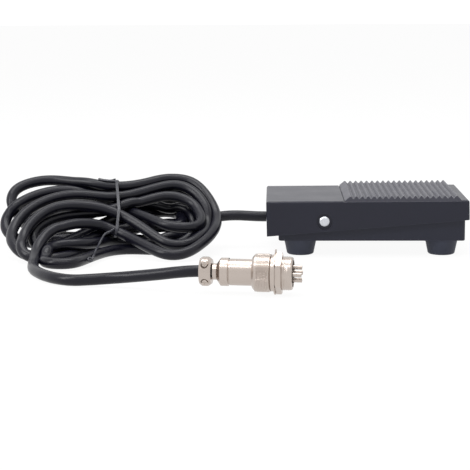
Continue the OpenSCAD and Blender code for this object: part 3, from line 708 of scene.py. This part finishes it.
@dataclass
class Cord:
    """The cord from the base's grommet through the tied hank to the plug's clamp.

    lead and tail are laid as they stand. dive, turns and rise are only where the hank's
    coil starts from: settle_line moves it. The places in turns were fitted by a separate
    program and rounded, so they aren't round sizes, and many in lead and tail were moved by
    as much as such a program said. length is in metres and is not used. bend is the
    radius under which a bend counts as tight, kin the number of neighbours on each side
    that a point doesn't push, and the shares from push on set how a round moves the points.
    """

    diameter: float = 5.8
    waist: float = -137.0
    step: float = 4.5
    bend: float = 16.0
    length: float = 2.36
    rest_gap: float = 0.12
    kin: int = 4
    push: float = 0.3
    laid_push: float = 2.0
    home_pull: float = 0.04
    smooth: float = 0.08
    smooth_tight: float = 0.6
    lead: tuple[Point, ...] = (
        (-54.7, 0, 17), (-60, 0, 17.1), (-66, 0, 17.4), (-71, 0, 17.6), (-77, 0, 17.4),
        (-84, 0, 16.5), (-92, 0.5, 15.2),
    )
    dive: tuple[Point, ...] = ((-101, 2, 14), (-112, 3.5, 12.6), (-124, 3.5, 11))
    turns: tuple[HalfTurn, ...] = (
        HalfTurn((1.6, 9), (-160, -5, 6), (-196.5, 1.6, 17), (-168, 19.4, 29)),
        HalfTurn((9, 24), (-112, 16, 20.8), (-94.5, 4, 12.5), (-110, -8, 3.2)),
        HalfTurn((-3.9, 5.5), (-160, -13.9, 6), (-194, -7.3, 10), (-163, 12, 24)),
        HalfTurn((-3, 23), (-106, -30, 15.1), (-85.8, -16.1, 13), (-112, -0.6, 29.7)),
        HalfTurn((-11, 22.5), (-162, -20, 21.1), (-185, -43, 6.5), (-160, -38.3, 2.9)),
        HalfTurn((-4.5, 12), (-114, 18, 19.5), (-95, 3, 12), (-112, -18, 3.2)),
        HalfTurn((-18.4, 6.4), (-152, -41.7, 8.1), (-176.2, -62.8, 3.6), (-155, -79.4, 3.8)),
        HalfTurn((-29.5, 3.4), (-108, -33, 2.9), (-85.8, 6, 17.7), (-108, 13, 32.4)),
        HalfTurn((5.5, 29.5), (-166, 3.8, 31.9), (-201.7, -13.9, 13.9), (-168, -27.2, 5)),
        HalfTurn((-5.6, 18), (-114, 14, 19.5), (-94.5, -1, 15.5), (-112, -14, 12.8)),
        HalfTurn((-11.7, 12), (-168, -53.9, 3), (-194.2, -31.7, 11), (-160, -4.5, 30.4)),
        HalfTurn((-6.2, 28.6), (-108, 7.7, 34.9), (-86.3, -14.5, 15), (-105, -41, 6.1)),
        HalfTurn((-18, 22), (-163, -23.9, 27.3), (-186.8, -49.4, 5.2), (-170, -62.8, 3)),
        HalfTurn((-11.1, 3.2), (-106, -19, 3.2), (-92, -6, 13), (-112, 8, 18.8)),
        HalfTurn((3, 23.8), (-172, -11.7, 12), (-201.1, 0.5, 28), (-177, 12.7, 36.4)),
        HalfTurn((-0.6, 33.6), (-108, 14.9, 37.2), (-83.7, -8.4, 17.2), (-106, -51.7, 2.9)),
    )
    rise: tuple[Point, ...] = ((-137, -24.5, 13), (-148, -28.2, 17.4), (-158.5, -34.8, 18.7))
    tail: tuple[Point, ...] = (
        (-168, -42.8, 16.5), (-174, -51.7, 11), (-175.5, -60.5, 6.2), (-175, -69.4, 3.8),
        (-174, -78.3, 3), (-172, -87.7, 3), (-168, -97.2, 3), (-162.5, -106, 3),
        (-156, -112.7, 3), (-148.5, -116.4, 3), (-141, -117.3, 3.4), (-133, -117.8, 4),
        (-125, -119.6, 4.9), (-115, -123.3, 6.4), (-105, -127, 8), (-96, -129.9, 9.5),
        (-87.4, -131.6, 10.35), (-80, -132.5, 10.3),
    )
    line: list[Vector] = field(default_factory=list)

    def build(self, paints: Paints, riders: Sequence[str]) -> bpy.types.Object:
        """Args:
            paints: the finishes.
            riders: names of the pieces and nodes that lie on the cord; not used.

        Returns:
            The cord's curve object.
        """
        cord = rod_along("cord", self.line, self.diameter / 2, round_steps=6, along_steps=5)
        paints.finish_piece(cord, Slot.JACKET, Body.BASE)
        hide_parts("cord_lead", "cord_hank", "cord_tail")
        return cord

    def settle_line(self) -> None:
        """Works out all points of the run, the hank's turns settled against each other."""
        loose = [Vector(p) for p in self.dive]
        for turn in self.turns:
            loose += turn.points(self.waist)
        loose += [Vector(p) for p in self.rise]
        coil = self._even(loose)
        whole = np.concatenate([[Vector(self.lead[-1])], coil, [Vector(self.tail[0])]])
        laid = np.concatenate([self._at_pace(self.lead), self._at_pace(self.tail)])
        settled = self._settle(whole, laid)
        self.line = [Vector(p) for p in (*self.lead, *settled[1:-1], *self.tail)]

    def _even(self, points: list[Vector]) -> np.ndarray:
        """Points at an even step along a smooth line through the given ones.

        Args:
            points: the points the line goes through.

        Returns:
            The points, one row each.
        """
        parts = 12
        fine = []
        count = len(points)
        for index in range(count - 1):
            a, b = points[max(index - 1, 0)], points[index]
            c, d = points[index + 1], points[min(index + 2, count - 1)]
            for part in range(parts):
                t = part / parts
                slope = (c - a) * t
                curve = (2 * a - 5 * b + 4 * c - d) * t * t
                twist = (3 * b - 3 * c + d - a) * t ** 3
                fine.append(0.5 * (2 * b + slope + curve + twist))
        fine.append(points[-1])
        line = np.array(fine)
        return self._respace(line, round(self._along(line)[-1] / self.step) + 1)

    @staticmethod
    def _along(line: np.ndarray) -> np.ndarray:
        """How far along the line each of its points lies."""
        return np.concatenate([[0.0], np.cumsum(np.linalg.norm(np.diff(line, axis=0), axis=1))])

    @staticmethod
    def _respace(line: np.ndarray, count: int) -> np.ndarray:
        """The line with its points set an even way apart.

        Args:
            line: the points, one row each.
            count: how many points are wanted.

        Returns:
            The new points, with the same two ends.
        """
        along = Cord._along(line)
        marks = np.linspace(0.0, along[-1], count)
        return np.stack([np.interp(marks, along, line[:, axis]) for axis in range(3)], 1)

    def _at_pace(self, points: Sequence[Point], pace: float = 3.0) -> np.ndarray:
        """Points of a laid stretch at an even pace.

        Args:
            points: the stretch.
            pace: about how far apart they are set.

        Returns:
            The new points, one row each.
        """
        line = np.array(points, dtype=float)
        return self._respace(line, round(self._along(line)[-1] / pace))

    def _apart(self, line: np.ndarray, others: np.ndarray, counted: np.ndarray) -> np.ndarray:
        """How far and which way each point has to go to clear other points of the cord.

        Args:
            line: the points that move.
            others: the points they have to clear.
            counted: which of the pairs count.

        Returns:
            The sum of each point's ways, one row each.
        """
        gap = line[:, None, :] - others[None, :, :]
        far = np.linalg.norm(gap, axis=2) + 1e-6
        near = (far < self.diameter) & counted
        return (gap / far[..., None] * ((self.diameter - far) * near)[..., None]).sum(1)

    def _settle(
        self, home: np.ndarray, laid: np.ndarray, stages: int = 8, rounds: int = 30, margin: int = 6
    ) -> np.ndarray:
        """Pushes the runs apart, off the floor and towards wider bends.

        It lessens the overlaps and the tight bends, but doesn't clear them all.

        Args:
            home: the coil's points, whose two ends stay.
            laid: points of the two stretches that stay where they are.
            stages: how often the points are spaced evenly again.
            rounds: pushes in one stage.
            margin: points next to each end that the laid stretches don't push.

        Returns:
            The settled points.
        """
        line = home.copy()
        count = len(line)
        index = np.arange(count)
        strangers = np.abs(index[:, None] - index[None, :]) > self.kin
        free = ((index >= margin) & (index < count - margin))[:, None]
        slack = self.step ** 2 / (2 * self.bend)
        for _ in range(stages):
            line, home = self._respace(line, count), self._respace(home, count)
            for _ in range(rounds):
                push = self._apart(line, line, strangers)
                push += self.laid_push * self._apart(line, laid, free)
                middle = (line[:-2] + line[2:]) / 2 - line[1:-1]
                sharp = np.linalg.norm(middle, axis=1, keepdims=True) + 1e-6
                over = np.clip(1.0 - slack / sharp, 0.0, 1.0)
                pull = self.home_pull * (1.0 - over) ** 2 * (home - line)[1:-1]
                ease = self.smooth + self.smooth_tight * over
                line[1:-1] += self.push * push[1:-1] + pull + ease * middle
                line[:, 2] = np.maximum(line[:, 2], self.diameter / 2 + self.rest_gap)
        return line


# -------- mesh helpers


def shade_by_angle(mesh: bpy.types.Mesh, limit: float = 35.0) -> None:
    """Smooths the faces and leaves edges sharp above an angle.

    Args:
        mesh: the mesh to change.
        limit: the angle in degrees.
    """
    form = bmesh.new()
    form.from_mesh(mesh)
    for face in form.faces:
        face.smooth = True
    for edge in form.edges:
        edge.smooth = len(edge.link_faces) == 2 and edge.calc_face_angle(0.0) < math.radians(limit)
    form.to_mesh(mesh)
    form.free()


def piece_from(name: str, form: bmesh.types.BMesh, place: Matrix | None = None) -> bpy.types.Object:
    """Turns a bmesh into a linked object whose own transform stays plain.

    Args:
        name: the piece's name.
        form: the mesh being edited; it is freed.
        place: where its points go, or None to leave them.

    Returns:
        The new object.
    """
    if place is not None:
        bmesh.ops.transform(form, matrix=place, verts=form.verts)
    bmesh.ops.recalc_face_normals(form, faces=form.faces)
    mesh = bpy.data.meshes.new(name)
    form.to_mesh(mesh)
    form.free()
    shade_by_angle(mesh)
    return placed(name, mesh)


def spun(profile: Sequence[tuple[float, float]], steps: int) -> bmesh.types.BMesh:
    """Revolves a closed profile about Z.

    Args:
        profile: radius and station of each corner, in millimetres, in order.
        steps: faces round the turn.

    Returns:
        The revolved mesh, in metres.
    """
    form = bmesh.new()
    corners = [form.verts.new((radius * MM, 0.0, station * MM)) for radius, station in profile]
    sides = [form.edges.new(pair) for pair in zip(corners, corners[1:] + corners[:1])]
    bmesh.ops.spin(
        form, geom=corners + sides, cent=(0, 0, 0), axis=(0, 0, 1), angle=math.tau, steps=steps,
        use_merge=True, use_duplicate=False,
    )
    bmesh.ops.recalc_face_normals(form, faces=form.faces)
    return form


# -------- hank tie


@dataclass(frozen=True)
class HankTie:
    """Twist tie: a band drawn round the upper runs of the waist, its bow and its twisted end.

    The band lies lean aside from the waist at its top and its foot, and bulges by bulge
    between them. It leaves out the runs whose Y or Z at the waist is at or under outside. Most
    places in twist were worked out by a separate program.
    """

    width: float = 1.5
    thick: float = 0.7
    bulge: float = 3.4
    lean: float = -1.6
    clear: float = 0.15
    rim_steps: int = 24
    outside: tuple[float, float] = (-27.0, 7.5)
    twist_radius: float = 0.62
    bow_radius: float = 0.55
    twist: tuple[Point, ...] = (
        (-137.4, -29, 14.5), (-138.8, -30.8, 13.7), (-141.6, -33, 12.5), (-143.1, -37.2, 10.5),
        (-144.1, -42.3, 8.3), (-144.6, -50.5, 7.1), (-145, -56.1, 5.7), (-145, -63.1, 4.9),
        (-145.8, -65.8, 3.3), (-147, -66.5, 3.9), (-146.6, -65, 4.9), (-145.4, -65.7, 4.8),
    )
    bow: tuple[Point, ...] = (
        (-139, -0.8, 37.05), (-142, -0.6, 37.15), (-145, -0.1, 37.35), (-147.6, 0.9, 37.75),
        (-148.6, 2, 38.05), (-147.4, 3, 37.6), (-145, 2.7, 37.3), (-142, 2.2, 37.15),
        (-139.4, 1.7, 37.9),
    )

    def build(self, paints: Paints, cord: Cord) -> list[bpy.types.Object]:
        """Makes the band, the twisted end and the bow.

        Args:
            paints: the finishes.
            cord: the settled cord the band is drawn round.

        Returns:
            The new pieces.
        """
        band = self._band(cord)
        pieces = [
            band,
            rod_along("hank_tie_twist", self.twist, self.twist_radius, round_steps=4, along_steps=8),
            rod_along("hank_tie_knot", self.bow, self.bow_radius, round_steps=4, along_steps=8),
        ]
        for piece in pieces:
            paints.finish_piece(piece, Slot.TIE, Body.BASE)
        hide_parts("hank_tie")
        return pieces

    def _crossings(self, cord: Cord) -> list[Vector]:
        """Finds where the runs that the band holds cross the plane of the waist.

        Args:
            cord: the settled cord.

        Returns:
            Y and Z of each crossing, in millimetres.
        """
        found = []
        for a, b in zip(cord.line, cord.line[1:]):
            if (a.x - cord.waist) * (b.x - cord.waist) < 0:
                share = (cord.waist - a.x) / (b.x - a.x)
                point = a.lerp(b, share)
                if point.y > self.outside[0] and point.z > self.outside[1]:
                    found.append(Vector((point.y, point.z)))
        return found

    def _band(self, cord: Cord) -> bpy.types.Object:
        """Makes the band: a hull round the runs, widened and thickened.

        Args:
            cord: the settled cord.

        Returns:
            The band.
        """
        reach = cord.diameter / 2 + self.clear
        angles = [math.tau * step / self.rim_steps for step in range(self.rim_steps)]
        rim = [
            Vector((run.x + reach * math.cos(angle), run.y + reach * math.sin(angle)))
            for run in self._crossings(cord) for angle in angles
        ]
        hull = [rim[index] for index in geometry.convex_hull_2d(rim)]
        top, foot = max(p.y for p in hull), min(p.y for p in hull)
        middle, half = (top + foot) / 2, (top - foot) / 2
        form = bmesh.new()
        loop = []
        for point in hull:
            lean = self.lean + self.bulge * (1 - ((point.y - middle) / half) ** 2)
            corner = Vector((cord.waist - self.width / 2 + lean, point.x, point.y))
            loop.append(form.verts.new(corner * MM))
        sides = [form.edges.new(pair) for pair in zip(loop, loop[1:] + loop[:1])]
        made = bmesh.ops.extrude_edge_only(form, edges=sides)
        moved = [item for item in made["geom"] if isinstance(item, bmesh.types.BMVert)]
        bmesh.ops.translate(form, verts=moved, vec=(self.width * MM, 0, 0))
        bmesh.ops.recalc_face_normals(form, faces=form.faces)
        bmesh.ops.solidify(form, geom=form.faces[:], thickness=-self.thick * MM)
        return piece_from("hank_tie_band", form)


# -------- connector


@dataclass(frozen=True)
class ConnectorTrim:
    """Fine forms of the connector: the ring's knurl and the barrel's thread.

    Stations are along the connector's axis in millimetres, from the plug's rear end. Each
    sleeve lies within the solid it dresses, but for its raised squares or ridges.
    """

    ring_radius: float = 9.0
    knurl_start: float = 27.4
    knurl_end: float = 33.2
    knurl_rows: int = 8
    knurl_steps: int = 76
    knurl_sink: float = 0.03
    knurl_wall: float = 0.15
    knurl_inset: float = 0.2
    knurl_height: float = 0.16
    thread_radius: float = 7.85
    thread_start: float = 39.35
    thread_turns: int = 4
    thread_pitch: float = 0.85
    thread_root: float = 0.05
    thread_crest: float = 0.14
    thread_wall: float = 0.3
    thread_steps: int = 96
    crest_span: tuple[float, float] = (0.4, 0.6)
    ring_station: float = 30.0

    def build(self, paints: Paints) -> list[bpy.types.Object]:
        """Makes the trim pieces.

        Args:
            paints: the finishes.

        Returns:
            The new pieces.
        """
        place = self._axis()
        knurl = piece_from("coupling_ring_knurl", self._knurl(), place)
        thread = piece_from("barrel_thread", self._thread(), place)
        paints.finish_piece(knurl, Slot.NICKEL, Body.RING)
        paints.finish_piece(thread, Slot.NICKEL, Body.SOCKET)
        return [knurl, thread]

    def _axis(self) -> Matrix:
        """Puts local Z on the coupling ring's own axis, with zero at the plug's rear end.

        Returns:
            The matrix from stations to the frame.
        """
        joint = next(j for j in frame["joints"] if j["name"] == "coupling_ring_turn")
        ahead = Vector(joint["axis"]).normalized()
        start = Vector(joint["pos_m"]) - ahead * self.ring_station * MM
        return Matrix.Translation(start) @ ahead.to_track_quat("Z", "Y").to_matrix().to_4x4()

    def _knurl(self) -> bmesh.types.BMesh:
        """Makes a sleeve over the ring with rows of small raised squares.

        Returns:
            The sleeve, in metres.
        """
        rows = [
            self.knurl_start + (self.knurl_end - self.knurl_start) * row / self.knurl_rows
            for row in range(self.knurl_rows + 1)
        ]
        outside = self.ring_radius - self.knurl_sink
        inside = self.ring_radius - self.knurl_wall
        outer = [(outside, row) for row in rows]
        inner = [(inside, rows[-1]), (inside, rows[0])]
        form = spun(outer + inner, self.knurl_steps)
        between = (outside + inside) / 2 * MM
        raised = [
            face for face in form.faces
            if face.calc_center_median().xy.length > between and abs(face.normal.z) < 0.5
        ]
        bmesh.ops.inset_individual(
            form, faces=raised, thickness=self.knurl_inset * MM, depth=self.knurl_height * MM
        )
        return form

    def _thread(self) -> bmesh.types.BMesh:
        """Makes a sleeve with the thread's ridges on the barrel ahead of the nut.

        Returns:
            The sleeve, in metres.
        """
        root = self.thread_radius - self.thread_root
        crest = self.thread_radius + self.thread_crest
        inside = self.thread_radius - self.thread_wall
        outer = []
        for turn in range(self.thread_turns):
            station = self.thread_start + turn * self.thread_pitch
            outer.append((root, station))
            outer += [(crest, station + self.thread_pitch * share) for share in self.crest_span]
        last = self.thread_start + self.thread_turns * self.thread_pitch
        outer.append((root, last))
        inner = [(inside, last), (inside, self.thread_start)]
        return spun(outer + inner, self.thread_steps)


# -------- return spring


@dataclass(frozen=True)
class ReturnSpring:
    """Compression spring with closed end turns.

    Sizes are in millimetres. foot is the middle of its lower end, radius is taken at the
    wire's middle, wire is the wire's radius, and pressed_share is the share of the height
    that is left when the pedal is down; it is not used.
    """

    foot: Point = (30.1, 0.0, 10.64)
    radius: float = 3.7
    wire: float = 0.5
    height: float = 17.48
    turns: int = 7
    closed_pitch: float = 1.1
    steps: int = 24
    wire_steps: int = 12
    pressed_share: float = 0.785

    def build(self, paints: Paints) -> bpy.types.Object:
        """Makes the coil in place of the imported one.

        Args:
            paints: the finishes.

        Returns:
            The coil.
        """
        place = Matrix.Translation((self.radius * MM, 0, self.wire * MM))
        upright = Matrix.Rotation(math.pi / 2, 4, "X")
        form = bmesh.new()
        made = bmesh.ops.create_circle(
            form, cap_ends=True, segments=self.wire_steps, radius=self.wire * MM,
            matrix=place @ upright,
        )
        ends = made["verts"]
        geom = ends + list({edge for vert in ends for edge in vert.link_edges}) + form.faces[:]
        free = self.height - 2 * self.wire - 2 * self.closed_pitch
        middle = self.turns - 2
        for turns, pitch in ((1, self.closed_pitch), (middle, free / middle), (1, self.closed_pitch)):
            geom = self._wind(form, geom, turns, pitch)
        bmesh.ops.recalc_face_normals(form, faces=form.faces)
        coil = piece_from("return_spring_coil", form, Matrix.Translation(Vector(self.foot) * MM))
        paints.finish_piece(coil, Slot.SPRING, Body.BASE)
        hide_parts("return_spring")
        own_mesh(coil)
        return coil

    def _wind(self, form: bmesh.types.BMesh, geom: list, turns: int, pitch: float) -> list:
        """Winds the wire's end on by some turns.

        Args:
            form: the mesh being made.
            geom: the wire's end: its corners, edges and face.
            turns: how many turns.
            pitch: the rise of one turn in millimetres.

        Returns:
            The new end.
        """
        rise = (0, 0, pitch / self.steps * MM)
        wound = bmesh.ops.spin(
            form, geom=geom, cent=(0, 0, 0), axis=(0, 0, 1), dvec=rise, angle=math.tau * turns,
            steps=self.steps * turns, use_merge=False, use_duplicate=False,
        )
        return wound["geom_last"]


# -------- nodes of the frame


SLOT_NODES: dict[Slot, tuple[str, ...]] = {
    Slot.TRAY: ("base_shell",),
    Slot.COVER: ("pedal_cover",),
    Slot.TREAD: ("tread_pad",),
    Slot.FOOT: ("foot_heel_near", "foot_heel_far", "foot_toe_near", "foot_toe_far"),
    Slot.ZINC: (
        "foot_screws", "pivot_screw_near", "pivot_screw_far", "snap_switch_screws",
        "cord_clamp_screws",
    ),
    Slot.SPRING: ("return_spring", "snap_switch_lever"),
    Slot.CASE: ("snap_switch_case", "cord_clamp_bar"),
    Slot.BRASS: ("snap_switch_terminals",),
    Slot.PLUNGER: ("snap_switch_plunger",),
    Slot.JACKET: ("cord_grommet", "cord_lead", "cord_hank", "cord_tail"),
    Slot.WIRE_PALE: ("wire_common", "plug_wires"),
    Slot.WIRE_RED: ("wire_switched",),
    Slot.TIE: ("hank_tie",),
    Slot.NICKEL: (
        "plug_clamp_saddle", "plug_clamp_screws", "plug_shell", "plug_coupling_ring",
        "plug_contacts", "socket_shell", "socket_pins", "socket_lock_washer", "socket_nut",
    ),
    Slot.INSERT: ("plug_insert", "socket_insert"),
}


@dataclass
class FrameNodes:
    """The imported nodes, with their finishes and softened edges.

    soft_edges holds the nodes with eased edges by the edge's width in millimetres.
    """

    soft_edges: dict[float, tuple[str, ...]] = field(
        default_factory=lambda: {
            0.6: ("pedal_cover",),
            0.5: ("base_shell", "foot_heel_near", "foot_heel_far", "foot_toe_near", "foot_toe_far"),
            0.22: ("tread_pad",),
            0.7: ("plug_clamp_saddle",),
            0.12: ("plug_shell", "socket_shell", "socket_lock_washer"),
            0.15: ("plug_coupling_ring", "socket_nut", "plug_clamp_screws"),
            0.2: ("pivot_screw_near", "pivot_screw_far"),
        }
    )
    segments: int = 3
    sharp_from: float = 40.0

    def build(self, paints: Paints) -> None:
        """Gives every node its finish, and some an eased edge.

        Args:
            paints: the finishes.
        """
        slots = {name: slot for slot, names in SLOT_NODES.items() for name in names}
        for name, node in frame["nodes"].items():
            paints.give(node, slots[name])
        LOG.info("finished %d packed nodes", len(slots))
        widths = {name: width for width, names in self.soft_edges.items() for name in names}
        for name, width in widths.items():
            ease = frame["nodes"][name].modifiers.new("ease", "BEVEL")
            ease.width = width * MM
            ease.segments = self.segments
            ease.limit_method = "ANGLE"
            ease.angle_limit = math.radians(self.sharp_from)
            ease.harden_normals = True


CORD_RIDERS: tuple[str, ...] = (
    "plug_clamp_saddle", "plug_clamp_screws", "plug_shell", "plug_coupling_ring",
    "plug_insert", "plug_contacts", "plug_wires", "socket_shell", "socket_insert",
    "socket_pins", "socket_lock_washer", "socket_nut",
)


def main() -> None:
    """Builds the scene in order."""
    logging.basicConfig(level=logging.INFO, format="%(message)s")
    paints = Paints()
    CameraView().build()
    Studio().build()
    FrameNodes().build(paints)
    trim = ConnectorTrim().build(paints)
    run = Cord()
    run.settle_line()
    ties = HankTie().build(paints, run)
    riders = list(CORD_RIDERS) + [piece.name for piece in trim + ties]
    for piece in [ReturnSpring().build(paints), run.build(paints, riders)] + trim + ties:
        LOG.info("made %s", piece.name)


if __name__ == "__main__":
    main()
